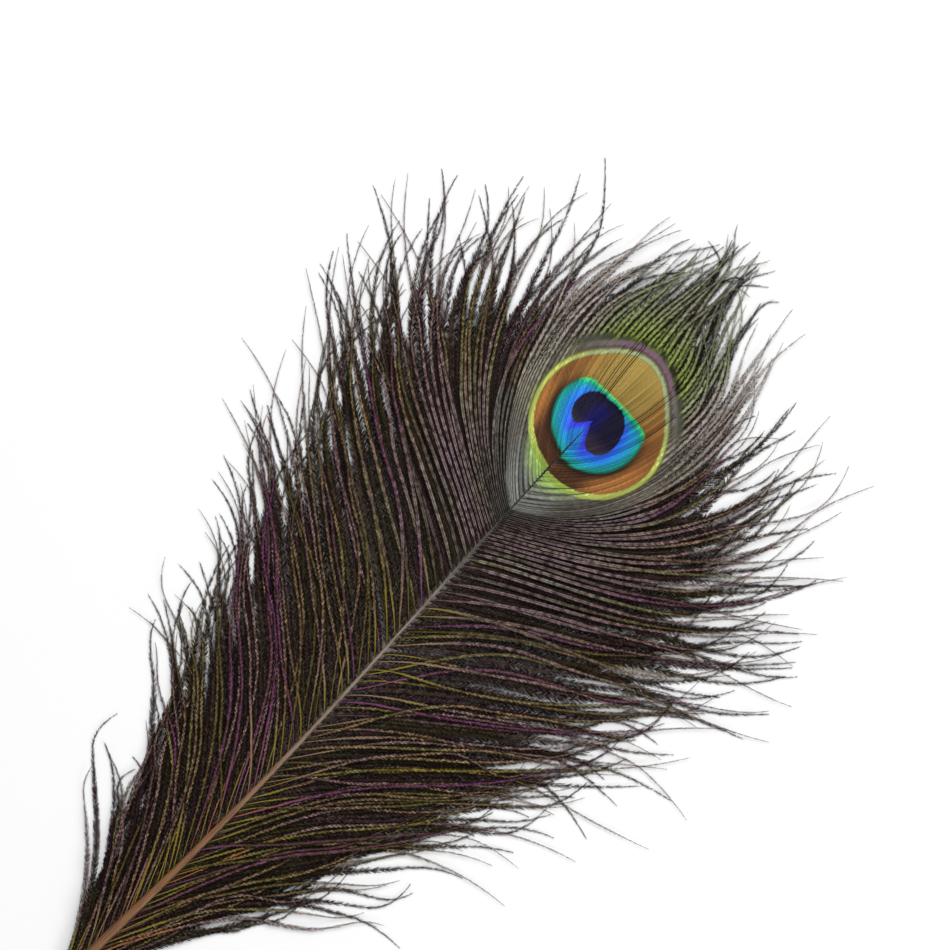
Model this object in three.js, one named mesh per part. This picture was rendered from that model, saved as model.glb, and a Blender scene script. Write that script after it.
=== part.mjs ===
// A peacock train feather, lying face up. Millimetres, +Z up.
// The shaft runs along Y with the tip at +Y. All lengths along Y are measured from the middle of the
// eye, and the finished group is moved so that the middle of its footprint is the origin.
import * as THREE from 'three';

// Lengths along the feather
const QUILL_END_Y = -237;
const SHAFT_TIP_Y = -1;

// The shaft is thickest where the lowest barbs leave it and narrows to a hair inside the eye.
const QUILL_TIP_RADIUS = 0.6;
const QUILL_RADIUS = 1.5;
const QUILL_POINT_LENGTH = 9;
const RACHIS_START_Y = -205;
const SHAFT_TIP_RADIUS = 0.15;
const TAPER_POWER = 1.15;
const SHAFT_SIDES = 14;
const SHAFT_STEPS = 48;
const STEPS_GROW = 1.15;

// The shaft bows a little sideways. It rests on the end of its quill and arches over the surface.
const BOW = 4.8;
const BOW_SPAN = 300;
const BOW_POWER = 1.6;
const ARCH_START_Y = -225;
const ARCH_LENGTH = 262;
const ARCH_HEIGHT = 5;

// The vanes are thickest beside the shaft. Their outer part lies flat on the surface.
const VANE_ROOT_THICKNESS = 1.4;
const VANE_TIP_THICKNESS = 0.7;
const FLAT_FROM = 0.72;
const GAP = 0.3;
const STEPS_ALONG_SHAFT = 44;
const STEPS_ALONG_BARB = 16;

// Guide barbs, from the midline above the eye down to the lowest barb. Each leaves the shaft at rootY,
// and its curve has two handles and ends at a tip. x counts outwards from the shaft. The barbs round
// the eye differ between the vanes, and the loose ones below it are alike.
const guide = (rootY, right, left = right) => ({ rootY, right, left });
const GUIDES = [
  guide(-1, [[0, 20], [0, 42], [0, 63]]),
  guide(-5, [[5, 6], [8.5, 30], [3.5, 62]], [[4, 6], [8, 30], [5, 62]]),
  guide(-11, [[12, 0], [15, 30], [7.5, 61]], [[9, 0], [15, 30], [10, 60]]),
  guide(-20, [[20, -6], [22, 26], [11.5, 58]], [[15, -7], [24, 26], [14, 58]]),
  guide(-31, [[29, -13], [28, 22], [16, 55]], [[22, -14], [33, 24], [19, 56]]),
  guide(-34, [[27, -20], [40, 6], [36, 50]], [[24, -20], [39, 6], [36, 49]]),
  guide(-40, [[26, -26], [57, -8], [62, 36]]),
  guide(-50, [[24, -34], [62, -28], [78, 17]]),
  guide(-65, [[20, -48], [60, -38], [84, 0]]),
  guide(-90, [[18, -70], [54, -58], [82, -22]]),
  guide(-118, [[17, -96], [48, -80], [76, -48]]),
  guide(-150, [[15, -126], [42, -104], [67, -74]]),
  guide(-182, [[12, -158], [34, -134], [54, -106]]),
  guide(-211, [[8, -190], [22, -168], [36, -144]]),
];

const bowAt = (y) => {
  const along = THREE.MathUtils.clamp(-y / BOW_SPAN, 0, 1);
  return BOW * Math.sin(Math.PI * along) ** BOW_POWER;
};

const archAt = (y) => {
  const along = THREE.MathUtils.clamp((y - ARCH_START_Y) / ARCH_LENGTH, 0, 1);
  return QUILL_RADIUS + ARCH_HEIGHT * Math.sin(Math.PI * along);
};

const shaftRadius = (y) => {
  if (y > RACHIS_START_Y) {
    const left = Math.max((SHAFT_TIP_Y - y) / (SHAFT_TIP_Y - RACHIS_START_Y), 0);
    return THREE.MathUtils.lerp(SHAFT_TIP_RADIUS, QUILL_RADIUS, left ** TAPER_POWER);
  }
  const point = Math.min((y - QUILL_END_Y) / QUILL_POINT_LENGTH, 1);
  return THREE.MathUtils.lerp(QUILL_TIP_RADIUS, QUILL_RADIUS, Math.sin((point * Math.PI) / 2));
};

// The quill and rachis are one lathed horn rod, bent along its bow and arch.
function shaftGeometry() {
  const profile = [new THREE.Vector2(0, QUILL_END_Y)];
  for (let i = 0; i <= SHAFT_STEPS; i += 1) {
    const y = THREE.MathUtils.lerp(QUILL_END_Y, SHAFT_TIP_Y, (i / SHAFT_STEPS) ** STEPS_GROW);
    profile.push(new THREE.Vector2(shaftRadius(y), y));
  }
  profile.push(new THREE.Vector2(0, SHAFT_TIP_Y));
  const geometry = new THREE.LatheGeometry(profile, SHAFT_SIDES);
  const place = geometry.attributes.position;
  for (let i = 0; i < place.count; i += 1) {
    const y = place.getY(i);
    place.setXYZ(i, place.getX(i) + bowAt(y), y, place.getZ(i) + archAt(y));
  }
  geometry.computeVertexNormals();
  return geometry;
}

// The barb at a share of the way down the guide barbs, as a curve seen from above.
function barbCurve(side, down) {
  const between = (pick) => {
    const points = GUIDES.map((row) => new THREE.Vector2(...pick(row)));
    return new THREE.SplineCurve(points).getPoint(down);
  };
  const root = between((row) => [0, row.rootY]);
  const later = [0, 1, 2].map((i) => between((row) => (side < 0 ? row.left : row.right)[i]));
  const inner = shaftRadius(root.y) + GAP;
  const points = [root, ...later].map((point) => {
    const x = bowAt(root.y) + side * (inner + point.x);
    return new THREE.Vector2(x, point.y);
  });
  return new THREE.CubicBezierCurve(...points);
}

// One vane: all its barbs as a thin sheet that slopes from the shaft to the surface.
function vaneGeometry(side) {
  const geometry = new THREE.BoxGeometry(1, 1, 1, STEPS_ALONG_BARB, STEPS_ALONG_SHAFT, 1);
  geometry.translate(side / 2, -1 / 2, 0);
  const place = geometry.attributes.position;
  for (let i = 0; i < place.count; i += 1) {
    const out = Math.abs(place.getX(i));
    const down = Math.max(-place.getY(i), 0);
    const isTop = place.getZ(i) > 0;
    const curve = barbCurve(side, down);
    const point = curve.getPoint(out);
    const thickness = THREE.MathUtils.lerp(VANE_ROOT_THICKNESS, VANE_TIP_THICKNESS, out);
    const rootZ = archAt(curve.v0.y) - VANE_ROOT_THICKNESS / 2;
    const fall = 1 - THREE.MathUtils.smoothstep(out, 0, FLAT_FROM);
    const z = rootZ * fall + (isTop ? thickness : 0);
    place.setXYZ(i, point.x, point.y, z);
  }
  geometry.computeVertexNormals();
  return geometry;
}

const horn = new THREE.MeshStandardMaterial({ color: 0x8a5f3c, roughness: 0.42, metalness: 0 });
const leftBarbs = new THREE.MeshStandardMaterial({ color: 0x3f3a22, roughness: 0.6, metalness: 0.1 });
const rightBarbs = leftBarbs.clone();

const pieces = [
  ['shaft', shaftGeometry(), horn],
  ['left_vane', vaneGeometry(-1), leftBarbs],
  ['right_vane', vaneGeometry(1), rightBarbs],
];

const feather = new THREE.Group();
for (const [name, geometry, material] of pieces) {
  const mesh = new THREE.Mesh(geometry, material);
  mesh.name = name;
  feather.add(mesh);
}

const footprint = new THREE.Box3().setFromObject(feather);
const middle = footprint.getCenter(new THREE.Vector3());
feather.position.set(-middle.x, -middle.y, -footprint.min.z);
feather.updateMatrixWorld(true);

export default feather;
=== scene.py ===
import math

import bpy
import numpy as np
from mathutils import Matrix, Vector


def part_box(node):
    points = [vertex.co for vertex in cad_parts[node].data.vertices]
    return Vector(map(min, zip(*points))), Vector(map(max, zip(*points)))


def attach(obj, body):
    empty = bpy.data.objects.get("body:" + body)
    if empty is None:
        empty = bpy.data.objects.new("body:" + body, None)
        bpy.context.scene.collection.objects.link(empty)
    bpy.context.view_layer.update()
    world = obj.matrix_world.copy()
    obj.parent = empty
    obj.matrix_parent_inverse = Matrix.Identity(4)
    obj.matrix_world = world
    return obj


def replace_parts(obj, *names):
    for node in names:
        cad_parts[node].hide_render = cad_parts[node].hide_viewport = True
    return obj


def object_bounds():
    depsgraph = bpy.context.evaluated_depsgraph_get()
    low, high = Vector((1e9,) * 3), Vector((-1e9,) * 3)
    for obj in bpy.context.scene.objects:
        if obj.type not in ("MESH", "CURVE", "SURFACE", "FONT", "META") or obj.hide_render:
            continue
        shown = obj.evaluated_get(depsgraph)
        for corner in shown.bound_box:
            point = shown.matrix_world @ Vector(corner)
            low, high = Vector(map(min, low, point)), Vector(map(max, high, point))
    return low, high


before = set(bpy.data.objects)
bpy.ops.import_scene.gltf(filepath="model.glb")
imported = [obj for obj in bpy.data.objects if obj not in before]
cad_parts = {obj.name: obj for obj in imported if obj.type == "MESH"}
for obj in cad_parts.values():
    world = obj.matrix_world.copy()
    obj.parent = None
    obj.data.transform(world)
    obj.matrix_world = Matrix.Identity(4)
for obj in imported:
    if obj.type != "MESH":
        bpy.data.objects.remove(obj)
cad_low, cad_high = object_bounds()

# ------------------------------------------------------------------------------------------------
# The feather lies face up. Its places are counted in millimetres from the middle of its eye: x to
# the right of the shaft, y towards the crest, z up from the paper. The frame says where the eye is:
# the crest ends 63 mm above it, and the right vane begins 0.45 mm beside it.
MM = 0.001
CREST_ABOVE_EYE = 63
VANE_BESIDE_EYE = 0.45
eye_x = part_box("right_vane")[0].x - VANE_BESIDE_EYE * MM
eye_y = cad_high.y - CREST_ABOVE_EYE * MM


def in_frame(points):
    """Millimetres from the eye as metres in the frame."""
    return np.asarray(points, float) * MM + (eye_x, eye_y, 0)


# ------------------------------------------------------------------------------------------------
# A sheet of matt white paper, evenly lit from a wide soft box overhead and a weaker one to the side,
# so that the barbs throw only faint shadows on it. The camera looks straight down.
PAPER_SIZE = 3
PAPER_WHITE = (0.98, 0.98, 0.985, 1)
PAPER_ROUGHNESS = 0.9
ROOM_LIGHT = 0.3
SHAFT_TURN = math.radians(44.5)
VIEW_WIDTH = 259 * MM
IMAGE_SIZE = 950
EYE_PIXEL = (592.7, 420.7)
CAMERA_HEIGHT = 1.1

bpy.ops.object.select_all(action="DESELECT")
bpy.ops.mesh.primitive_plane_add(size=PAPER_SIZE, location=(0, 0, 0))
paper = bpy.context.object
paper.name = "paper"
paper_white = bpy.data.materials.new("paper_white")
paper_white.use_nodes = True
paper_look = paper_white.node_tree.nodes["Principled BSDF"]
paper_look.inputs["Base Color"].default_value = PAPER_WHITE
paper_look.inputs["Roughness"].default_value = PAPER_ROUGHNESS
paper.data.materials.append(paper_white)

world = bpy.data.worlds.new("soft_room")
world.use_nodes = True
room = world.node_tree.nodes["Background"]
room.inputs["Color"].default_value = (1, 1, 1, 1)
room.inputs["Strength"].default_value = ROOM_LIGHT
bpy.context.scene.world = world
bpy.context.scene.view_settings.view_transform = "Standard"


def soft_box(name, place, size, power):
    lamp = bpy.data.lights.new(name, "AREA")
    lamp.shape = "SQUARE"
    lamp.size = size
    lamp.energy = power
    holder = bpy.data.objects.new(name, lamp)
    holder.location = place
    aim = -holder.location
    holder.rotation_euler = aim.to_track_quat("-Z", "Y").to_euler()
    bpy.context.scene.collection.objects.link(holder)


soft_box("overhead_box", place=(-0.3, 0.5, 1.3), size=0.9, power=14.5)
soft_box("side_box", place=(0.9, -0.2, 0.7), size=0.5, power=3.6)

across = np.array([math.cos(SHAFT_TURN), math.sin(SHAFT_TURN)])
upwards = np.array([-math.sin(SHAFT_TURN), math.cos(SHAFT_TURN)])
metres_per_pixel = VIEW_WIDTH / IMAGE_SIZE
from_middle = (np.array(EYE_PIXEL) - IMAGE_SIZE / 2) * metres_per_pixel
middle = np.array([eye_x, eye_y]) - from_middle[0] * across + from_middle[1] * upwards
lens = bpy.data.cameras.new("overhead_camera")
camera = bpy.data.objects.new("overhead_camera", lens)
camera.location = (middle[0], middle[1], CAMERA_HEIGHT)
camera.rotation_euler = (0, 0, SHAFT_TURN)
lens.lens = lens.sensor_width * CAMERA_HEIGHT / VIEW_WIDTH
bpy.context.scene.collection.objects.link(camera)
bpy.context.scene.camera = camera


# ------------------------------------------------------------------------------------------------
# The shaft is one rod of horn that grew with the feather: a hollow quill with an open end, then the
# rachis, which is oval with a groove along its underside and narrows to a hair inside the eye. It is
# cream at the quill, brown above it and dark near the eye, and bows a little to the right.
QUILL_END_Y = -237
SHAFT_TIP_Y = -1
RACHIS_START_Y = -205
RACHIS_EASE = 25
QUILL_RADIUS = 1.5
QUILL_TIP_RADIUS = 0.6
QUILL_POINT = 9
SHAFT_TIP_RADIUS = 0.15
TAPER_POWER = 1.6
BOW, BOW_SPAN, BOW_POWER = 4.8, 300, 1.6
ARCH_START_Y, ARCH_LENGTH, ARCH_HEIGHT = -225, 262, 5
SHAFT_SIDES, SHAFT_RINGS = 20, 100
SHAFT_FLATTEN = 0.88
GROOVE_DEPTH, GROOVE_WIDTH = 0.3, 0.5
QUILL_MOUTH_INSET, QUILL_MOUTH_DEPTH, QUILL_MOUTH_REACH = 0.25, 3, 10
SMOOTH_BELOW = math.radians(50)


def smoothstep(low, high, value):
    share = np.clip((np.asarray(value, float) - low) / (high - low), 0, 1)
    return share * share * (3 - 2 * share)


def shaft_bow(y):
    along = np.clip(-np.asarray(y, float) / BOW_SPAN, 0, 1)
    return BOW * np.sin(np.pi * along) ** BOW_POWER


def shaft_height(y):
    along = np.clip((np.asarray(y, float) - ARCH_START_Y) / ARCH_LENGTH, 0, 1)
    return QUILL_RADIUS + ARCH_HEIGHT * np.sin(np.pi * along)


def shaft_radius(y):
    y = np.asarray(y, float)
    left = np.clip((SHAFT_TIP_Y - y) / (SHAFT_TIP_Y - RACHIS_START_Y), 0, 1)
    rachis = SHAFT_TIP_RADIUS + (QUILL_RADIUS - SHAFT_TIP_RADIUS) * left**TAPER_POWER
    point = np.clip((y - QUILL_END_Y) / QUILL_POINT, 0, 1)
    quill = QUILL_TIP_RADIUS + (QUILL_RADIUS - QUILL_TIP_RADIUS) * np.sin(point * np.pi / 2)
    return np.where(y > RACHIS_START_Y, rachis, quill)


class Tone:
    """One socket of a material, on which shader maths is written as Python expressions."""

    FACTOR, FIRST_COLOUR, SECOND_COLOUR, MIXED_COLOUR = 0, 6, 7, 2

    def __init__(self, tree, socket=None):
        self.tree = tree
        self.socket = socket

    def node(self, kind, settings=None, sockets=None, output=0):
        """Adds a node. Its settings are made first, and then the values or links of its sockets."""
        made = self.tree.nodes.new(kind)
        for name, value in (settings or {}).items():
            setattr(made, name, value)
        for name, value in (sockets or {}).items():
            if isinstance(value, Tone):
                self.tree.links.new(value.socket, made.inputs[name])
            else:
                made.inputs[name].default_value = value
        return Tone(self.tree, made.outputs[output])

    def maths(self, operation, *values):
        return self.node("ShaderNodeMath", {"operation": operation}, dict(enumerate(values)))

    def __add__(self, other):
        return self.maths("ADD", self, other)

    def __sub__(self, other):
        return self.maths("SUBTRACT", self, other)

    def __rsub__(self, other):
        return self.maths("SUBTRACT", other, self)

    def __mul__(self, other):
        return self.maths("MULTIPLY", self, other)

    def __truediv__(self, other):
        return self.maths("DIVIDE", self, other)

    def __pow__(self, other):
        return self.maths("POWER", self, other)

    __radd__ = __add__
    __rmul__ = __mul__

    def size(self):
        return self.maths("ABSOLUTE", self)

    def root(self):
        return self.maths("SQRT", self)

    def fraction(self):
        return self.maths("FRACT", self)

    def below(self, value):
        return self.maths("LESS_THAN", self, value)

    def at_least(self, other, blur=0):
        return self.maths("SMOOTH_MAX" if blur else "MAXIMUM", self, other, blur)

    def at_most(self, other, blur=0):
        return self.maths("SMOOTH_MIN" if blur else "MINIMUM", self, other, blur)

    def rise(self, low, high):
        """From 0 at low to 1 at high, eased at both ends."""
        settings = {"interpolation_type": "SMOOTHSTEP", "clamp": True}
        sockets = {"Value": self, "From Min": low, "From Max": high}
        if low > high:
            sockets.update({"From Min": high, "From Max": low, "To Min": 1, "To Max": 0})
        return self.node("ShaderNodeMapRange", settings, sockets)

    def band(self, middle, edge, core):
        """1 within core of the middle, and 0 further from it than edge."""
        return (self - middle).size().rise(edge, core)

    def blend(self, first, second, how="MIX"):
        """first where this is 0, and second where it is 1."""
        settings = {"data_type": "RGBA", "blend_type": how}
        sockets = {self.FACTOR: self, self.FIRST_COLOUR: first, self.SECOND_COLOUR: second}
        return self.node("ShaderNodeMix", settings, sockets, self.MIXED_COLOUR)

    def shaded(self, tint):
        """This colour darkened by a tint."""
        settings = {"data_type": "RGBA", "blend_type": "MULTIPLY"}
        sockets = {self.FACTOR: 1, self.FIRST_COLOUR: self, self.SECOND_COLOUR: tint}
        return self.node("ShaderNodeMix", settings, sockets, self.MIXED_COLOUR)


def srgb(red, green, blue):
    """A colour of 0 to 255 a channel, as it looks, in the shader's linear values."""
    share = np.array([red, green, blue]) / 255
    return (*(np.where(share > 0.04045, ((share + 0.055) / 1.055) ** 2.4, share / 12.92)), 1)


def new_finish(name):
    """A new material with its shader, and a Tone to start its expressions from."""
    material = bpy.data.materials.new(name)
    material.use_nodes = True
    shader = material.node_tree.nodes["Principled BSDF"]
    return material, shader, Tone(material.node_tree)


def place_from_eye(tone):
    """Where a point is, in millimetres from the middle of the eye, as three Tones."""
    spot = tone.node("ShaderNodeTexCoord", output="Object")
    parts = [tone.node("ShaderNodeSeparateXYZ", {}, {"Vector": spot}, axis) for axis in "XYZ"]
    return [(part - start) / MM for part, start in zip(parts, (eye_x, eye_y, 0))]


def feed(shader, name, tone):
    tone.tree.links.new(tone.socket, shader.inputs[name])


QUILL_CREAM = srgb(226, 214, 188)
RACHIS_BROWN = srgb(134, 94, 62)
RACHIS_TAN = srgb(146, 130, 116)
RACHIS_DARK = srgb(52, 44, 34)
GRAIN_SHADE = (0.55, 0.5, 0.45, 1)
GRAIN_ACROSS, GRAIN_ALONG, GRAIN_SWAY = 2.2, 0.12, 14
RIDGE_HEIGHT, RIDGE_STRENGTH = 0.1 * MM, 0.25
HORN_GLOSS, HORN_COAT = 0.3, 0.1

horn, horn_look, tone = new_finish("quill_horn")
x, y, z = place_from_eye(tone)
streaks = {"X": x * GRAIN_ACROSS, "Y": y * GRAIN_ALONG, "Z": z * GRAIN_ACROSS}
streaks = tone.node("ShaderNodeCombineXYZ", {}, streaks)
grain = tone.node("ShaderNodeTexNoise", {}, {"Vector": streaks, "Scale": 1, "Detail": 4})
uneven_y = y + (grain - 0.5) * GRAIN_SWAY
colour = uneven_y.rise(-225, -204).blend(QUILL_CREAM, RACHIS_BROWN)
colour = uneven_y.rise(-155, -88).blend(colour, RACHIS_TAN)
colour = uneven_y.rise(-70, -28).blend(colour, RACHIS_DARK)
colour = grain.rise(0.35, 0.75).blend(colour, GRAIN_SHADE, "MULTIPLY")
feed(horn_look, "Base Color", colour)
feed(horn_look, "Roughness", 0.3 + grain * 0.25)
horn_look.inputs["Specular IOR Level"].default_value = HORN_GLOSS
horn_look.inputs["Coat Weight"].default_value = HORN_COAT
ridges = {"Strength": RIDGE_STRENGTH, "Distance": RIDGE_HEIGHT, "Height": grain}
feed(horn_look, "Normal", tone.node("ShaderNodeBump", {}, ridges))

bpy.ops.object.select_all(action="DESELECT")
bpy.ops.mesh.primitive_cylinder_add(
    vertices=SHAFT_SIDES, radius=1, depth=1, end_fill_type="NGON", location=(0, 0, 0)
)
shaft = bpy.context.object
shaft.name = "quill_and_rachis"
bpy.ops.object.mode_set(mode="EDIT")
bpy.ops.mesh.select_mode(type="EDGE")
bpy.ops.mesh.select_all(action="DESELECT")
bpy.ops.object.mode_set(mode="OBJECT")
for edge in shaft.data.edges:
    start, end = (shaft.data.vertices[i].co.z for i in edge.vertices)
    edge.select = start * end < 0
bpy.ops.object.mode_set(mode="EDIT")
bpy.ops.mesh.subdivide(number_cuts=SHAFT_RINGS)
bpy.ops.object.mode_set(mode="OBJECT")
for vertex in shaft.data.vertices:
    side, down, along = vertex.co
    y = QUILL_END_Y + (along + 0.5) * (SHAFT_TIP_Y - QUILL_END_Y)
    radius = float(shaft_radius(y))
    is_rachis = float(smoothstep(RACHIS_START_Y, RACHIS_START_Y + RACHIS_EASE, y))
    groove = GROOVE_DEPTH * is_rachis * max(0, down) * math.exp(-((side / GROOVE_WIDTH) ** 2))
    rise = -down * (1 - (1 - SHAFT_FLATTEN) * is_rachis) + groove
    place = (float(shaft_bow(y)) + side * radius, y, float(shaft_height(y)) + rise * radius)
    vertex.co = in_frame(place)
bpy.ops.object.mode_set(mode="EDIT")
bpy.ops.mesh.select_mode(type="FACE")
bpy.ops.mesh.select_all(action="DESELECT")
bpy.ops.object.mode_set(mode="OBJECT")
for face in shaft.data.polygons:
    is_at_quill_end = face.center.y < cad_low.y + QUILL_MOUTH_REACH * MM
    face.select = len(face.vertices) == SHAFT_SIDES and is_at_quill_end
bpy.ops.object.mode_set(mode="EDIT")
bpy.ops.mesh.inset(thickness=QUILL_MOUTH_INSET * MM)
bpy.ops.mesh.extrude_region_move(
    TRANSFORM_OT_translate={"value": (0, QUILL_MOUTH_DEPTH * MM, 0)}
)
bpy.ops.mesh.select_all(action="SELECT")
bpy.ops.mesh.normals_make_consistent(inside=False)
bpy.ops.object.mode_set(mode="OBJECT")
bpy.ops.object.shade_smooth_by_angle(angle=SMOOTH_BELOW)
shaft.data.materials.append(horn)
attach(shaft, "root")
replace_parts(shaft, "shaft")


# ------------------------------------------------------------------------------------------------
# A vane is a row of barbs. Each barb is a thin strand, and along both its sides grow some hundreds
# of barbules, flat blades a millimetre long. They are far too many to shape by hand, so each row is
# grown as one joined mesh from arrays. Round the eye the blades meet and make a closed sheet.
def guide(root_y, right, left=None):
    return root_y, right, left or right


# The same guide barbs as the frame's vanes: where each leaves the shaft, two handles and its tip.
GUIDES = [
    guide(-1, [(0, 20), (0, 42), (0, 63)]),
    guide(-5, [(5, 6), (8.5, 30), (3.5, 62)], [(4, 6), (8, 30), (5, 62)]),
    guide(-11, [(12, 0), (15, 30), (7.5, 61)], [(9, 0), (15, 30), (10, 60)]),
    guide(-20, [(20, -6), (22, 26), (11.5, 58)], [(15, -7), (24, 26), (14, 58)]),
    guide(-31, [(29, -13), (28, 22), (16, 55)], [(22, -14), (33, 24), (19, 56)]),
    guide(-34, [(27, -20), (40, 6), (36, 50)], [(24, -20), (39, 6), (36, 49)]),
    guide(-40, [(26, -26), (57, -8), (62, 36)]),
    guide(-50, [(24, -34), (62, -28), (78, 17)]),
    guide(-65, [(20, -48), (60, -38), (84, 0)]),
    guide(-90, [(18, -70), (54, -58), (82, -22)]),
    guide(-118, [(17, -96), (48, -80), (76, -48)]),
    guide(-150, [(15, -126), (42, -104), (67, -74)]),
    guide(-182, [(12, -158), (34, -134), (54, -106)]),
    guide(-211, [(8, -190), (22, -168), (36, -144)]),
]
LEFT, RIGHT = -1, 1
GUIDE_ROOTS = np.array([row[0] for row in GUIDES], float)[:, None]
GUIDE_CURVES = {side: np.array([row[side] for row in GUIDES], float) for side in (RIGHT, LEFT)}
ROOT_INSET = 0.7
FLAT_FROM = 0.72
BARB_LIFT = 0.5
PATH_STEPS = 120
PLACE_STEPS = 3000


def spline(points, down):
    """A smooth curve through the points, at shares of the way down them."""
    last = len(points) - 1
    place = np.clip(down, 0, 1) * last
    i = np.minimum(place.astype(int), last - 1)
    t = (place - i)[:, None]
    before, start, end, after = (points[np.clip(i + k, 0, last)] for k in (-1, 0, 1, 2))
    leave, arrive = (end - before) / 2, (after - start) / 2
    cubic = 2 * start - 2 * end + leave + arrive
    square = 3 * end - 3 * start - 2 * leave - arrive
    return ((cubic * t + square) * t + leave) * t + start


def root_at(down):
    """How far along the shaft the barbs at shares of the way down a vane leave it."""
    return spline(GUIDE_ROOTS, down)[:, 0]


def vane_point(side, down, out):
    """x and y at shares of the way down a vane's barbs and of the way out along them."""
    root_y = root_at(down)
    curves = GUIDE_CURVES[side]
    first, second, tip = (spline(curves[:, i], down) for i in range(3))
    root = np.stack([np.zeros_like(root_y), root_y], 1)
    t = out[:, None]
    point = (1 - t) ** 3 * root + 3 * (1 - t) ** 2 * t * first + 3 * (1 - t) * t**2 * second
    point = point + t**3 * tip
    x = shaft_bow(root_y) + side * (point[:, 0] + ROOT_INSET * shaft_radius(root_y))
    return np.stack([x, point[:, 1]])


def sway(dice, along, waves):
    """A smooth random wave of about -1 to 1."""
    total = np.zeros_like(along)
    for k in range(1, waves + 1):
        total += np.sin(2 * np.pi * (k * along * dice.uniform(0.6, 1.4) + dice.random())) / k
    return total / 1.5


def beside_each_other(line, other):
    """How far apart two neighbouring lines run, measured squarely across the first one."""
    ahead = np.gradient(line, axis=1)
    ahead /= np.linalg.norm(ahead, axis=0)
    apart = other - line
    return np.abs(apart[0] * ahead[1] - apart[1] * ahead[0])


def barb_places(side, first_root, last_root, root_gap, side_gap, side_gap_at):
    """Shares of the way down a vane where barbs grow. Two neighbours are a root gap apart on the
    shaft, or less where their middles would otherwise be more than a side gap apart."""
    table = np.linspace(0, 1, PLACE_STEPS)
    roots = root_at(table)
    table = table[(roots <= first_root) & (roots >= last_root)]
    middles = vane_point(side, table, np.full(len(table), side_gap_at))
    further = vane_point(side, table, np.full(len(table), side_gap_at + 0.01))
    ahead = (further - middles) / np.linalg.norm(further - middles, axis=0)
    apart = np.diff(middles, axis=1)
    sideways = np.abs(apart[0] * ahead[1, 1:] - apart[1] * ahead[0, 1:])
    roots = root_at(table)
    crowd = np.maximum(-np.diff(roots) / root_gap(-roots[1:]), sideways / side_gap)
    crowd = np.concatenate([[0], np.cumsum(crowd)])
    count = round(crowd[-1])
    return np.interp((np.arange(count) + 0.5) * crowd[-1] / count, crowd, table)


def directions(path, along, at):
    """Places on a barb's middle line with the ways ahead, to its left and up from it."""
    place = np.stack([np.interp(at, along, path[:, k]) for k in range(3)], 1)
    ahead = np.stack([np.interp(at, along, np.gradient(path[:, k], along)) for k in range(3)], 1)
    ahead /= np.linalg.norm(ahead, axis=1)[:, None]
    beside = np.stack([-ahead[:, 1], ahead[:, 0], np.zeros(len(at))], 1)
    beside /= np.linalg.norm(beside, axis=1)[:, None]
    return place, ahead, beside, np.cross(ahead, beside)


STEM_SIDES = 3
STEM_STEP, FEWEST_STEM_STEPS = 1.8, 14
STEM_POINT = 0.01
TUFT_CONTRAST = 0.45
TUFT_STAGGER = 0.8
TUFT_TILT, TUFT_GROWTH = 0.6, 0.25
FLECK_SPREAD, SLANT_SPREAD, LENGTH_SPREAD = 0.08, 0.1, (-0.3, 0.2)
BLADE_LOWEST = 0.06
BLADE_ROOT_ACROSS = 0.12
# Each barb has a column of its own on the joined mesh's map: its stem down the middle of the column,
# and its blades to both sides. The map's height is the length of the longest barb.
LONGEST_BARB = 150
STEM_MAP_LANE = 0.06
BLADE_MAP_ROOT, BLADE_MAP_END = 0.1, 0.46
# What the materials read at a point of a barb: how far out on a blade it is, how far along the barb,
# a number of the barb's own, how brightly its tuft shines, and a mark that each kind of barb uses.
FACTS = ("across", "along", "strand", "fleck", "special")


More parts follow.
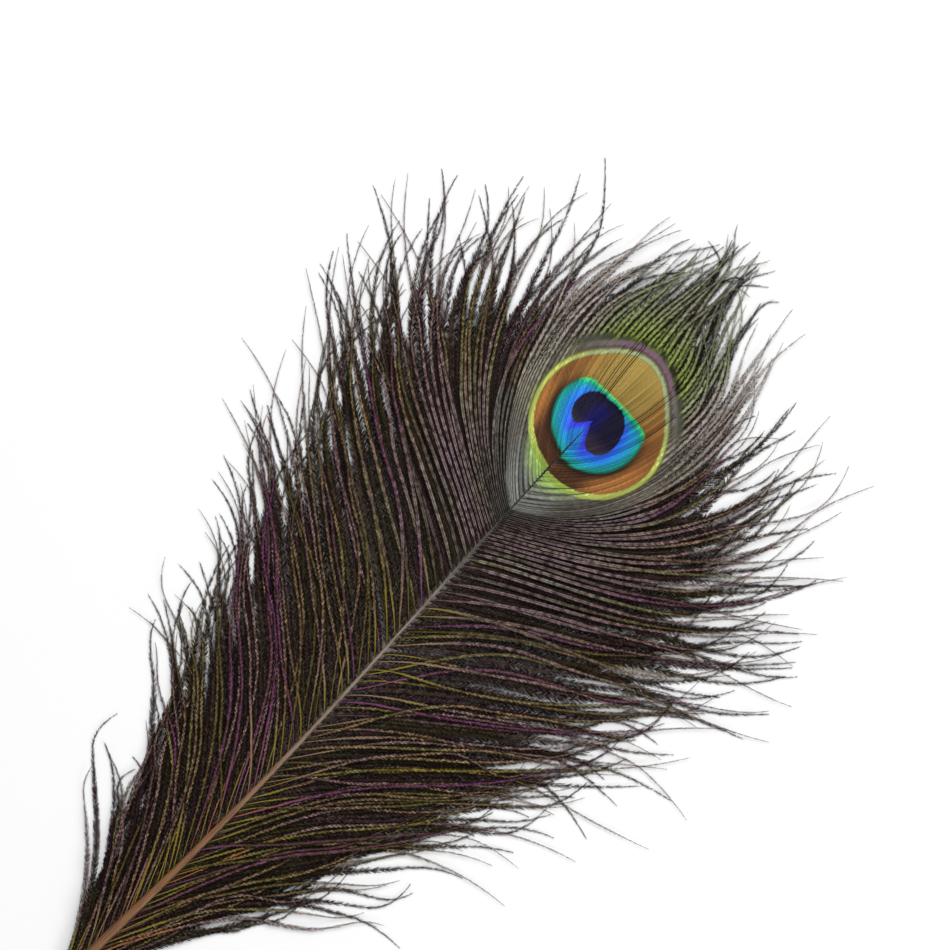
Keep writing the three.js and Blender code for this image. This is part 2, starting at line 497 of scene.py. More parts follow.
class Plume:
    """Collects barbs, and makes one joined mesh of them."""

    def __init__(self, barb_count):
        self.barb_count = barb_count
        self.barbs = 0
        self.size = 0
        self.points, self.faces, self.maps, self.facts = [], [], [], []

    def add(self, corners, faces, maps, facts):
        """corners (n, 3) in mm, faces (m, 4) into them, maps (m, 4, 2) and facts (n, 5)."""
        self.points.append(corners)
        self.faces.append(faces + self.size)
        self.maps.append(maps)
        self.facts.append(facts)
        self.size += len(corners)

    def stem(self, path, along, radius, strand, special):
        """The barb's own stem, three-sided and closed by narrowing to almost nothing at its ends."""
        steps = max(int(along[-1] / STEM_STEP), FEWEST_STEM_STEPS)
        at = np.linspace(0, along[-1], steps)
        place, _, beside, above = directions(path, along, at)
        thick = np.interp(at, along, radius)
        thick[[0, -1]] = STEM_POINT
        rings = []
        for corner in range(STEM_SIDES):
            turn = math.radians(90 + corner * 360 / STEM_SIDES)
            rings.append(place + thick[:, None] * (beside * math.cos(turn) + above * math.sin(turn)))
        corners = np.stack(rings, 1).reshape(-1, 3)
        low = np.arange(steps - 1)[:, None] * STEM_SIDES + np.arange(STEM_SIDES)
        low_next = np.roll(low, -1, axis=1)
        faces = np.stack([low, low + STEM_SIDES, low_next + STEM_SIDES, low_next], 2).reshape(-1, 4)
        lane = (np.arange(STEM_SIDES) - STEM_SIDES / 2) * STEM_MAP_LANE
        lanes = np.stack([lane, lane, lane + STEM_MAP_LANE, lane + STEM_MAP_LANE], 1)
        u = np.tile((self.barbs + 0.5 + lanes) / self.barb_count, (steps - 1, 1))
        start, end = at[:-1] / LONGEST_BARB, at[1:] / LONGEST_BARB
        v = np.repeat(np.stack([start, end, end, start], 1), STEM_SIDES, 0)
        facts = np.zeros((len(corners), len(FACTS)))
        facts[:, 1] = np.repeat(at, STEM_SIDES)
        facts[:, 2:] = strand, 0.5, special
        self.add(corners, faces, np.stack([u, v], 2), facts)

    def barbules(self, path, along, side, spacing, shape, ragged, strand, special, dice, bead):
        """Flat slanted blades along one side of the barb; side is 1 for its left and -1 for its right.

        shape holds, along the barb, how far the blades reach to the side, how they slant and roll,
        how wide their ends are and what share of them is there. ragged is how uneven they are, and
        bead is how long a tuft is."""
        reach, slant, roll, end_width, kept = shape
        at = np.arange(spacing, along[-1] - spacing, spacing)
        at = at[dice.random(len(at)) < np.interp(at, along, kept)]
        place, ahead, beside, above = directions(path, along, at)
        tufts = dice.random(int(along[-1] / bead) + 3) * (1 - TUFT_CONTRAST)
        tufts[::2] += TUFT_CONTRAST
        tuft = tufts[(at / bead + (side > 0) * TUFT_STAGGER).astype(int)]
        fleck = np.clip(tuft + dice.normal(0, FLECK_SPREAD, len(at)), 0, 1)
        uneven = np.interp(at, along, ragged)
        angle = np.interp(at, along, slant) + dice.normal(0, SLANT_SPREAD, len(at)) * uneven
        tilt = np.interp(at, along, roll) + (tuft - 0.5) * TUFT_TILT * uneven
        growth = dice.uniform(*LENGTH_SPREAD, len(at)) + (tuft - 0.5) * TUFT_GROWTH
        length = np.interp(at, along, reach) / np.sin(angle) * (1 + growth * uneven)
        outward = beside * (side * np.cos(tilt))[:, None] + above * np.sin(tilt)[:, None]
        blade = ahead * np.cos(angle)[:, None] + outward * np.sin(angle)[:, None]
        half = ahead * (spacing / 2)
        end = place + blade * length[:, None]
        end_half = half * np.interp(at, along, end_width)[:, None]
        corners = np.stack([place - half, place + half, end + end_half, end - end_half], 1)
        corners[:, :, 2] = np.maximum(corners[:, :, 2], BLADE_LOWEST)
        order = [1, 2, 3, 0] if side > 0 else [0, 3, 2, 1]
        faces = np.arange(len(at))[:, None] * 4 + np.array(order)
        lanes = [BLADE_MAP_ROOT, BLADE_MAP_ROOT, BLADE_MAP_END, BLADE_MAP_END]
        u = self.barbs + 0.5 + side * np.array(lanes)
        u = np.tile(u / self.barb_count, (len(at), 1))[:, order]
        low, high = (at - spacing / 2) / LONGEST_BARB, (at + spacing / 2) / LONGEST_BARB
        v = np.stack([low, high, high, low], 1)[:, order]
        facts = np.zeros((len(at), 4, len(FACTS)))
        facts[:, :2, 0], facts[:, 2:, 0] = BLADE_ROOT_ACROSS, 1
        facts[:, :, 1] = at[:, None]
        facts[:, :, 2] = strand
        facts[:, :, 3] = fleck[:, None]
        facts[:, :, 4] = special
        self.add(corners.reshape(-1, 3), faces, np.stack([u, v], 2), facts.reshape(-1, len(FACTS)))

    def mesh(self, name, material):
        points = in_frame(np.concatenate(self.points))
        faces = np.concatenate(self.faces)
        data = bpy.data.meshes.new(name)
        data.vertices.add(len(points))
        data.vertices.foreach_set("co", points.ravel())
        data.loops.add(faces.size)
        data.loops.foreach_set("vertex_index", faces.ravel())
        data.polygons.add(len(faces))
        data.polygons.foreach_set("loop_start", np.arange(len(faces)) * 4)
        data.update(calc_edges=True)
        layer = data.uv_layers.new(name="OFBake")
        layer.data.foreach_set("uv", np.concatenate(self.maps).ravel())
        facts = np.concatenate(self.facts)
        for column, fact in enumerate(FACTS):
            values = data.attributes.new(fact, "FLOAT", "POINT")
            values.data.foreach_set("value", facts[:, column].astype(np.float32))
        data.materials.append(material)
        piece = bpy.data.objects.new(name, data)
        bpy.context.scene.collection.objects.link(piece)
        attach(piece, "root")
        return piece


def read_facts(tone):
    """The facts of a barb as Tones."""
    return [tone.node("ShaderNodeAttribute", {"attribute_name": fact}, {}, "Fac") for fact in FACTS]


def lay_barb(side, down, reach, drift, settle, curl):
    """The middle line of one barb in mm, the distance along it, and the share of the way out."""
    out = np.linspace(0, reach, PATH_STEPS)
    down = np.clip(down + drift(out), 0, 1)
    slope = 1 - smoothstep(0, FLAT_FROM, out)
    height = shaft_height(root_at(down)) * slope + BARB_LIFT
    path = np.stack([*vane_point(side, down, out), height], 1)
    settle(path, out)
    ahead = np.gradient(path[:, :2], axis=0)
    ahead /= np.linalg.norm(ahead, axis=1)[:, None]
    bend = curl(out / reach)
    path[:, 0] -= ahead[:, 1] * bend
    path[:, 1] += ahead[:, 0] * bend
    steps = np.linalg.norm(np.diff(path, axis=0), axis=1)
    return path, np.concatenate([[0], np.cumsum(steps)]), out


def neighbour_gaps(side, places, i, out, first_gap):
    """How far the neighbours of barb i run from it, towards the tip of the feather and away. The
    first barb has the first gap before it, and the last barb the same gap on both its sides."""
    even = np.linspace(0, 1, PATH_STEPS)

    def line(j):
        return vane_point(side, np.full(PATH_STEPS, places[j]), even)

    gap = np.full(PATH_STEPS, first_gap)
    gaps = []
    for j in (i - 1, i + 1):
        if 0 <= j < len(places):
            gap = beside_each_other(line(i), line(j))
        gaps.append(np.interp(out, even, gap))
    return gaps


def wavy(dice, curl_size, wave_size, late_from, wave_from):
    """A barb's own curl at its end and its waves, in mm to the left of its way."""
    turn, hook = dice.normal(0, curl_size), dice.normal(0, curl_size * 0.6)
    waves, start, size = dice.uniform(0.8, 2.6), dice.random(), dice.normal(0, wave_size)
    hook_from = 0.86

    def curl(share):
        late = np.clip((share - late_from) / (1 - late_from), 0, 1) ** 2
        wave = np.sin(2 * np.pi * (waves * share + start)) * size
        last = np.clip((share - hook_from) / (1 - hook_from), 0, 1) ** 2
        return turn * late + hook * last + wave * smoothstep(wave_from, 1, share)

    return curl


# ------------------------------------------------------------------------------------------------
# The eye and its crest. Their barbs leave the last 35 mm of the shaft, and their blades hook together
# into a smooth sheet, coloured in rings: a plum-black kidney in a blue and teal heart, a bronze disc,
# a yellow-green rim and a mauve band. Past it they come loose, gather, and fall apart at their tips.
EYE_SEED = 7
EYE_PLACE_STEPS = 2000
EYE_PITCH = 0.6
COLLAR_PITCH = 1.25
COLLAR_FROM, COLLAR_TO = 17, 21
CREST_PITCH = 1.05
LAST_EYE_ROOT = -32.9
EYE_BLADE_SPACING = 0.2
EYE_TUFT_LENGTH = 0.9
EYE_STEM_RADIUS = (0.09, 0.06, 0.04)
EYE_SLANT, EYE_TIP_SLANT_LOSS = math.radians(40), math.radians(16)
SHEET_REACH, SHEET_LAP, SHEET_RAGGED = 0.72, 0.04, 0.08
CREST_REACH, RIDGE_CREST_REACH = 1.2, 0.85
GATHER_FROM, GATHER_TO, GATHER_WIDTH, GATHER, GATHER_LEAN = 20, 47, 14.5, 0.6, 2.2
FOUNTAIN_FROM, FOUNTAIN_TO, FOUNTAIN, FOUNTAIN_DROP = 50, 68, 9, 0.3
EYE_STRAY_START, EYE_STRAY_END = 0.003, 0.007
EYE_RAISE, RIDGE_RAISE = (0, 0.8), (0.6, 1.4)
EYE_GLOSS = 0.08
DISC_MIDDLE_X, DISC_RADIUS, DOME_HEIGHT, DOME_SHARPNESS = 2.2, 18.5, 3, 8
DISC_LEAN = 0.08
# Where two barbs have come unhooked, in millimetres beside the middle of the eye. The barbs beside
# each split get painted shadow at their blade ends, above the middle of the eye.
SPLITS = {LEFT: (3.2, 4.2, 5, 6, 7.6), RIGHT: (9.5, 10.5, 15)}

# The colours of the eye, from its middle outwards, and of the plain barbs round it.
PLUM_BLACK = srgb(25, 22, 46)
INDIGO = srgb(25, 22, 88)
DULL_PLUM = srgb(54, 45, 58)
INK = srgb(12, 10, 20)
COBALT = srgb(40, 124, 212)
SEA_BLUE = srgb(34, 138, 184)
STEEL_BLUE = srgb(37, 118, 188)
TEAL = srgb(30, 142, 138)
BOTTLE_GREEN = srgb(14, 104, 84)
EMERALD = srgb(46, 186, 112)
LEAF_GREEN = srgb(104, 196, 104)
ULTRAMARINE = srgb(44, 100, 224)
VIOLET = srgb(60, 60, 222)
DARK_BRONZE = srgb(76, 48, 30)
WARM_BRONZE = srgb(136, 91, 46)
GOLD_BRONZE = srgb(152, 128, 66)
RUSSET = srgb(150, 98, 50)
BRONZE_SHADE = srgb(42, 30, 20)
LIME = srgb(186, 196, 98)
SAGE = srgb(150, 160, 124)
GRASS = srgb(146, 170, 74)
RIM_EDGE = srgb(108, 108, 50)
RIM_STREAK = srgb(112, 122, 60)
MAUVE = srgb(124, 95, 112)
MAUVE_GREY = srgb(110, 106, 98)
MAUVE_EDGE = srgb(92, 72, 80)
SHADOW_BAND_DARK = srgb(44, 46, 28)
SHADOW_BAND_GREEN = srgb(96, 106, 56)
SHADOW_BAND_GREY = srgb(84, 84, 70)
SHOULDER_GREEN = srgb(156, 166, 122)
FLANK_CREAM = srgb(178, 169, 153)
FLANK_ROSE = srgb(187, 171, 161)
CREST_GREEN = srgb(152, 170, 88)
CREST_STRAW = srgb(146, 144, 118)
CREST_OLIVE = srgb(94, 106, 44)
CREST_BROWN = srgb(56, 54, 38)
BELOW_RIM_LIME = srgb(200, 240, 116)
BELOW_RIM_GREEN = srgb(154, 196, 96)
BELOW_RIM_OLIVE_SHADE = srgb(102, 126, 66)
BELOW_RIM_SILVER = srgb(154, 158, 150)
BELOW_RIM_GREY = srgb(98, 100, 96)
BELOW_RIM_SHADE = srgb(50, 48, 44)
WING_CREAM = srgb(140, 133, 124)
WING_BROWN = srgb(70, 64, 58)
WING_BLACK_SHADE = srgb(22, 18, 15)
BARB_BROWN = srgb(66, 56, 49)
BARB_BLACK_SHADE = srgb(15, 10, 7)
UNDERLAYER_SHADE_TINT = (0.36, 0.33, 0.3, 1)

# The shapes in the eye. The heart is a bowl with a flat top, and the kidney two lobes under a dome.
LEFT_VANE_LOWER = 1.2
HEART_MIDDLE_X, HEART_RADIUS, HEART_TOP, HEART_TOP_SAG = 1.6, 13.4, 8.6, 0.085
LEFT_LOBE_X, LEFT_LOBE_Y, LEFT_LOBE_WIDTH, LEFT_LOBE_HEIGHT, LEFT_LOBE_SIZE = -2.5, 1, 4.7, 6.3, 5
RIGHT_LOBE_X, RIGHT_LOBE_Y, RIGHT_LOBE_WIDTH, RIGHT_LOBE_HEIGHT, RIGHT_LOBE_SIZE = 3.8, 0.2, 5.4, 7.2, 6.3
RIGHT_LOBE_LEAN = 0.15
DOME_X, DOME_Y, DOME_RADIUS = 0.7, 2.2, 5.1
NOTCH_TOP, NOTCH_SLOPE, LEFT_NOTCH_FLATTER = -0.9, 2.1, 0.6


def beyond_disc(x, y):
    """The distance in mm from the edge of the bronze disc, below 0 inside it."""
    above = np.maximum(y, 0)
    aside = x - DISC_MIDDLE_X + above * DISC_LEAN
    from_middle = np.maximum(np.hypot(aside, y), 0.01)
    return from_middle - DISC_RADIUS - DOME_HEIGHT * (above / from_middle) ** DOME_SHARPNESS


def eye_barb_places(side):
    """Barbs spaced evenly where they pass beside the middle of the eye, and wider in the collar."""
    table = np.linspace(0, 1, EYE_PLACE_STEPS)
    table = table[root_at(table) >= LAST_EYE_ROOT]
    aside, higher = (np.abs(vane_point(side, table, np.full(len(table), out))[0]) for out in (0.5, 0.8))
    pitch = EYE_PITCH + (COLLAR_PITCH - EYE_PITCH) * smoothstep(COLLAR_FROM, COLLAR_TO, aside[1:])
    crowd = np.maximum(np.diff(aside) / pitch, np.diff(higher) / CREST_PITCH)
    crowd = np.concatenate([[0], np.cumsum(crowd)])
    places = np.arange(0.5, crowd[-1])
    return np.interp(places, crowd, table), np.interp(places, crowd, aside)


eye_barb, eye_look, tone = new_finish("eye_barbs")
x, y, _ = place_from_eye(tone)
across_blade, along_barb, strand, fleck, split_shadow = read_facts(tone)
# A multiple of the strand number, without its whole part, is one more number of the barb's own. The
# barbs with numbers from 0.5 stand up as ridges.
own = (strand * 14.6).fraction()
is_ridge = strand.rise(0.45, 0.55)
# The colours of the two vanes miss each other by a millimetre at the shaft, and each barb's by less.
on_left = x.below(0)
y = y - on_left * LEFT_VANE_LOWER * y.rise(5, -4) + (own - 0.5) * 0.4 + (fleck - 0.5) * 0.2
above = y.at_least(0)
disc_x = x - DISC_MIDDLE_X + above * DISC_LEAN
from_middle = (disc_x * disc_x + y * y).root()
disc = from_middle - DISC_RADIUS - (above / from_middle) ** DOME_SHARPNESS * DOME_HEIGHT
heart_x = x - HEART_MIDDLE_X
bowl = (heart_x * heart_x + y * y).root() - HEART_RADIUS
heart = bowl.at_least(y - HEART_TOP + (x * HEART_TOP_SAG) ** 2, 2.2)
left_x = (x - LEFT_LOBE_X) / LEFT_LOBE_WIDTH
left_y = (y - LEFT_LOBE_Y) / LEFT_LOBE_HEIGHT
left_lobe = (left_x**2 + left_y**2).root() * LEFT_LOBE_SIZE - LEFT_LOBE_SIZE
right_y = y - RIGHT_LOBE_Y
right_x = (x - RIGHT_LOBE_X + right_y * RIGHT_LOBE_LEAN) / RIGHT_LOBE_WIDTH
right_lobe = (right_x * right_x + (right_y / RIGHT_LOBE_HEIGHT) ** 2).root()
right_lobe = right_lobe * RIGHT_LOBE_SIZE - RIGHT_LOBE_SIZE
notch = NOTCH_TOP - y - x.size() * (NOTCH_SLOPE - on_left * LEFT_NOTCH_FLATTER)
dome_x = x - DOME_X
dome = (dome_x * dome_x + (y - DOME_Y) ** 2).root() - DOME_RADIUS
kidney = left_lobe.at_most(right_lobe, 1.6).at_most(dome, 1).at_least(notch, 2)

top = y.rise(-5, 13)
bronze = top.blend(DARK_BRONZE, WARM_BRONZE)
bronze = (top * x.size().rise(15, 5)).blend(bronze, GOLD_BRONZE)
bronze = (y.rise(9, -6) * x.size().rise(8, 14)).blend(bronze, RUSSET)
bronze = (heart.rise(2.6, 0) * (1 - top)).blend(bronze, BRONZE_SHADE)
teal = heart.rise(-4.5, -2.2).blend(COBALT, SEA_BLUE)
teal = (y.rise(-3, -9) * heart.rise(-2.4, -4.5)).blend(teal, STEEL_BLUE)
teal = heart.rise(-2.4, -1).blend(teal, TEAL)
teal = heart.rise(-0.8, -0.1).blend(teal, BOTTLE_GREEN)
teal = (heart.rise(-1.4, -0.4) * y.rise(4.5, 7)).blend(teal, EMERALD)
teal = (heart.rise(-0.8, -0.1) * y.rise(6, 8) * x.size().rise(9, 3)).blend(teal, LEAF_GREEN)
teal = (kidney.rise(2.8, 0.3) * (1 - y.rise(4, 7)) * (1 - on_left * 0.45)).blend(teal, ULTRAMARINE)
teal = (kidney.rise(4, 0.5) * y.rise(1, -2.5) * x.size().rise(7, 2)).blend(teal, VIOLET)
plum = (x.size().rise(4, 0) * y.rise(7, 3)).blend(PLUM_BLACK, INDIGO)
plum = y.rise(-1, -6).blend(plum, DULL_PLUM)
plum = y.rise(5.5, 7.5).blend(plum, INK)
rim = y.rise(4, 17).blend(LIME, SAGE)
rim = y.rise(-14, -19).blend(rim, GRASS)
rim = (disc.band(0.7, 0.15, 0.9) * y.rise(-15, -8)).blend(rim, RIM_EDGE)
rim = (own.rise(0.55, 1) * fleck.rise(0.2, 0.7) * 0.6).blend(rim, RIM_STREAK)
mauve = x.size().rise(6, 14).blend(MAUVE, MAUVE_GREY)
mauve = disc.band(1.8, 0.9, 0.2).blend(mauve, MAUVE_EDGE)

# The plain barbs: each is light along its ridge, where the pale stem is lit up with painted sheen,
# has painted shade at the ends of its blades, and is between the two elsewhere. Below the rim all
# three are green first and then silver, and darker out on the wings.
below_eye = y.rise(-8, -17)
below_rim = disc + x.size() * 0.3
wings = x.size().rise(4, 13)
over_axis = y.rise(8, 17) * (x.size() + disc * 0.45).rise(22, 13)


def with_rim_below(above_rim, fade_from, fade_to, green, silver, wing):
    """One of the barbs' three colours, as it is on all sides of the eye."""
    strands = below_rim.rise(fade_from, fade_to).blend(green, silver)
    return below_eye.blend(above_rim, wings.blend(strands, wing))


# The light colours along the ridges: the pale stems, with painted sheen on them.
flank_pale_and_sheen = y.rise(8, 18).blend(FLANK_CREAM, FLANK_ROSE)
flank_pale_and_sheen = x.size().rise(14, 22).blend(SHOULDER_GREEN, flank_pale_and_sheen)
light = over_axis.blend(flank_pale_and_sheen, disc.rise(4, 20).blend(CREST_GREEN, CREST_STRAW))
light = with_rim_below(light, 1.5, 8, BELOW_RIM_LIME, BELOW_RIM_SILVER, WING_CREAM)
mid = over_axis.blend(BARB_BROWN, disc.rise(4, 18).blend(CREST_OLIVE, CREST_BROWN))
mid = with_rim_below(mid, 1, 8, BELOW_RIM_GREEN, BELOW_RIM_GREY, WING_BROWN)
# The dark colours at the ends of the blades are painted shade between the barbs.
dark = with_rim_below(BARB_BLACK_SHADE, 2, 9, BELOW_RIM_OLIVE_SHADE, BELOW_RIM_SHADE, WING_BLACK_SHADE)

crest = y.rise(9, 20)
collar = disc.rise(5.8, 2.6) * (1 - y.rise(12, 22))
body = across_blade.rise(0.85, 0.3) * (1 - collar) + across_blade.rise(0.72, 0.42) * collar
# Where the ridge's light goes: partly the pale stem and partly painted sheen, which brightens and fades
# along each barb.
ridge = across_blade.rise(0.7, 0.35) * (fleck * 0.3 + own * 0.5 + 0.1)
ridge = ridge.at_least(collar * 0.14)
ridge = ridge.at_least(y.rise(-12, -20) * disc.rise(9, 2) * (0.2 + is_ridge * 0.3))
plume_line = across_blade.rise(0.75, 0.3) * is_ridge * (fleck * 0.4 + own * 0.3 + 0.4)
twist_glint = {"W": along_barb * 0.12 + strand * 97}
twist_glint = tone.node("ShaderNodeTexNoise", {"noise_dimensions": "1D"}, twist_glint)
glint = (ridge * (1 - crest) + plume_line * crest) * (twist_glint.rise(0.3, 0.7) * 0.6 + 0.6)
fringe = glint.blend(body.blend(dark, mid), light)
# Barbs that are not ridges lie under the ridges, and are darkened with painted shade in the crest and
# below the eye.
underlayer_shade = (1 - is_ridge) * (crest * disc.rise(5, 12) + y.rise(-19, -23) * 0.35)
fringe = underlayer_shade.blend(fringe, UNDERLAYER_SHADE_TINT, "MULTIPLY")
# Just past the mauve band lies a patchy band of painted shadow: dark on some barbs, greener on others,
# and greyer out to the sides.
shadow_band = own.rise(0.1, 0.9).blend(SHADOW_BAND_DARK, SHADOW_BAND_GREEN)
shadow_band = x.size().rise(11, 15).blend(shadow_band, SHADOW_BAND_GREY)

sheet = disc.rise(3.2, 4.2).blend(mauve, shadow_band)
crown = (disc + own - 0.5).rise(6, 4.4) * (y + own * 2 - 1).rise(7, 16)
sheet = crown.blend(fringe, sheet)
sheet = disc.rise(1.9, 1.4).blend(sheet, rim)
sheet = disc.rise(0.25, -0.25).blend(sheet, bronze)
sheet = heart.rise(0.25, -0.25).blend(sheet, teal)
sheet = kidney.rise(0.25, -0.25).blend(sheet, plum)
# Each barb's tone differs a little at random, and the ends of its blades are darkened with painted shade.
lit = 0.9 + fleck * 0.06 + own * 0.14
lit = lit * (1 - across_blade.rise(0.5, 1) * 0.1)
streaky = (collar * 0.38).at_least(wings * y.rise(-10, -17) * disc.rise(1.4, 4) * 0.5)
lit = lit * (1 - (1 - own) * streaky)
# Along the barbs beside a split, painted shadow darkens the ends of the blades.
lit = lit * (1 - split_shadow * y.rise(1, 7) * across_blade.rise(0.35, 0.7) * 0.94)
lit = tone.node("ShaderNodeCombineColor", {}, {"Red": lit, "Green": lit, "Blue": lit})
feed(eye_look, "Base Color", sheet.shaded(lit))
feed(eye_look, "Metallic", disc.rise(3, 0) * 0.4)
feed(eye_look, "Roughness", 0.4 + fleck * 0.15)
eye_look.inputs["Specular IOR Level"].default_value = EYE_GLOSS

for side, word in ((LEFT, "left"), (RIGHT, "right")):
    dice = np.random.default_rng(EYE_SEED + side)
    places, aside = eye_barb_places(side)
    plume = Plume(len(places))
    for i, down in enumerate(places):
        stray = dice.normal(0, EYE_STRAY_START), dice.normal(0, EYE_STRAY_END)
        is_ridge = int(i % 2 or aside[i] > COLLAR_TO)
        height = dice.uniform(*EYE_RAISE) + is_ridge * dice.uniform(*RIDGE_RAISE)
        fountain = FOUNTAIN * dice.uniform(0.2, 1.6)

        def drift(out):
            return (stray[0] + stray[1] * out * out) * smoothstep(0.42, 1, out)

        def settle(path, out):
            """Lifts the free end, gathers the crest to its middle and lets its tips fall apart."""
            free = smoothstep(3, 9, beyond_disc(path[:, 0], path[:, 1]))
            path[:, 2] += height * free * smoothstep(0.35, 0.5, out)
            near = np.exp(-((path[:, 0] / GATHER_WIDTH) ** 2))
            near *= smoothstep(GATHER_FROM, GATHER_TO, path[:, 1])
            path[:, 0] -= near * (GATHER * path[:, 0] + GATHER_LEAN)
            fall = smoothstep(FOUNTAIN_FROM, FOUNTAIN_TO, path[:, 1]) ** 1.5 * near
            path[:, 0] += side * fall * fountain
            path[:, 1] -= fall * fountain * FOUNTAIN_DROP

        curl = wavy(dice, 3 + 2 * is_ridge, 1, late_from=0.64, wave_from=0.5)
        path, along, out = lay_barb(side, down, dice.uniform(0.84, 1.04), drift, settle, curl)
        gaps = neighbour_gaps(side, places, i, out, EYE_PITCH)
        strand = 0.5 * is_ridge + 0.45 * dice.random()
        split_shadow_barb = float(min(abs(aside[i] - place) for place in SPLITS[side]) < EYE_PITCH / 2)
        share = out / out[-1]
        radius = np.interp(out, [0, 0.3, 1], EYE_STEM_RADIUS)
        plume.stem(path, along, radius, strand, split_shadow_barb)
        free = smoothstep(1.5, 6, beyond_disc(path[:, 0], path[:, 1])) * smoothstep(0.38, 0.5, out)
        tip = smoothstep(0.55 + 0.15 * is_ridge, 0.95, share)
        crest_reach = RIDGE_CREST_REACH if is_ridge else CREST_REACH
        ragged = SHEET_RAGGED + (1 - SHEET_RAGGED) * free
        for outer in (False, True):
            left_of_barb = -side if outer else side
            reach = np.minimum(gaps[outer] * 0.58, SHEET_REACH)
            reach = reach * (1 - free) + np.maximum(reach, crest_reach) * free
            reach = (reach + SHEET_LAP) * (1 - 0.65 * tip) * (1 - 0.6 * smoothstep(0.95, 1, share))
            slant = EYE_SLANT - EYE_TIP_SLANT_LOSS * tip
            roll = 0.2 * tip - 0.06 - 0.06 * free
            shape = reach, slant, roll, 1.15 - 0.1 * free - 0.7 * tip, 1 - 0.25 * tip
            plume.barbules(path, along, left_of_barb, EYE_BLADE_SPACING, shape, ragged,
                           strand, split_shadow_barb, dice, EYE_TUFT_LENGTH)
        plume.barbs += 1
    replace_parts(plume.mesh(word + "_eye_barbs", eye_barb), word + "_vane")


# ------------------------------------------------------------------------------------------------
# The loose barbs below the eye. They don't hook together, so each is a soft cord: a stem with
# limp blades down both sides that bunch in tufts and catch the light as flecks, which are painted
# into the colour as highlights. Those of the lower layer are dark from the root, in painted shade
# for lying under the top layer. Those on top leave the shaft thin and olive and lean along it.
LOOSE_SEED = 19
LOWER_LAYER, TOP_LAYER = 0, 1
HALF_WAY_ROOT = -84
LAST_ROOT = -210
PARTS = (("upper", LAST_EYE_ROOT, HALF_WAY_ROOT), ("lower", HALF_WAY_ROOT, LAST_ROOT))
ROOT_GAP = {LOWER_LAYER: (1.9, 2.3), TOP_LAYER: (3.2, 2.5)}
SIDE_GAP = {LOWER_LAYER: 1.9, TOP_LAYER: 2.4}
SIDE_GAP_AT = 0.75
LOOSE_REACH = {LOWER_LAYER: 1.2, TOP_LAYER: 0.76}
LOOSE_BLADE_SPACING = {LOWER_LAYER: 0.27, TOP_LAYER: 0.19}
LOOSE_STEM_RADIUS = (0.2, 0.16, 0.1, 0.04)
LOOSE_SLANT, LOOSE_TIP_SLANT_LOSS = math.radians(38), math.radians(12)
LOOSE_TUFT_LENGTH = 0.62
BUNCH, BUNCH_PULL, BARB_PULL = 4, 0.008, 0.006
TWIST_LENGTH = 16
STRAY_SHARE, STRAY_PULL = 0.2, 0.035
TOP_LAYER_LIFT = 0.25
LOOSE_RAISE, TOP_LAYER_RAISE = (0, 0.5), (0.6, 1.6)
TOP_LAYER_LEAN, TOP_LAYER_SHIFT = (-0.02, 0.055), 0.0016
LOOSE_GLOSS = 0.06

DARK_OLIVE_SHADE = srgb(13, 9, 4)
DARK_RED_SHADE = srgb(13, 7, 6)
OLIVE = srgb(70, 58, 25)
RUST_BROWN = srgb(64, 44, 36)
SHADED_LOWER_OLIVE = srgb(38, 30, 13)
SHADED_LOWER_BROWN = srgb(36, 23, 18)
EYE_SIDE_BROWN = srgb(56, 43, 39)
OLD_GOLD = srgb(178, 162, 64)
STRAW = srgb(162, 154, 96)
COPPER = srgb(196, 164, 118)
ROSE = srgb(190, 154, 150)
MAGENTA = srgb(156, 78, 140)
EYE_SIDE_CREAM = srgb(170, 158, 144)
EYE_SIDE_LILAC = srgb(172, 144, 154)
SILVER = srgb(158, 158, 150)
DARK_SILVER = srgb(84, 82, 76)
BARE_OLIVE = srgb(140, 128, 54)
BARE_TAN = srgb(150, 124, 94)
BARE_MAGENTA = srgb(128, 76, 112)
BARE_ORANGE = srgb(172, 106, 60)
LOWER_LAYER_SHADE_TINT = (0.2, 0.18, 0.16, 1)

herl, herl_look, tone = new_finish("loose_barbs")
x, y, _ = place_from_eye(tone)
across_blade, along_barb, strand, fleck, on_top = read_facts(tone)
own = (strand * 3.7).fraction()
flat_place = tone.node("ShaderNodeCombineXYZ", {}, {"X": x, "Y": y})
region = tone.node("ShaderNodeTexNoise", {}, {"Vector": flat_place, "Scale": 0.035, "Detail": 1})
near_eye = y.rise(-80, -42) * along_barb.rise(62, 20)
magenta = ((strand * 5.1).fraction() + x.rise(10, -30) * 0.1).rise(0.89, 0.93)
hue = (strand * 7.3).fraction() * 0.75 + region.rise(0.3, 0.7) * 0.25
hue = hue + x.rise(20, -30) * (1 - near_eye) * 0.1
silver = (x.size() - y - 34).rise(8, -1) * y.rise(-6, -14) * on_top

# The colours at the ends of the blades are partly the barbs' own dark brown and partly painted shade
# between the cords.
dark = hue.rise(0.3, 0.7).blend(DARK_OLIVE_SHADE, DARK_RED_SHADE)
mid = hue.rise(0.3, 0.6).blend(OLIVE, RUST_BROWN)
mid = near_eye.blend(mid, EYE_SIDE_BROWN)
# The lower layer's middle colours are shaded copies of the top layer's, painted shade for lying
# underneath.
mid = on_top.blend(hue.rise(0.3, 0.6).blend(SHADED_LOWER_OLIVE, SHADED_LOWER_BROWN), mid)
mid = silver.blend(mid, DARK_SILVER)
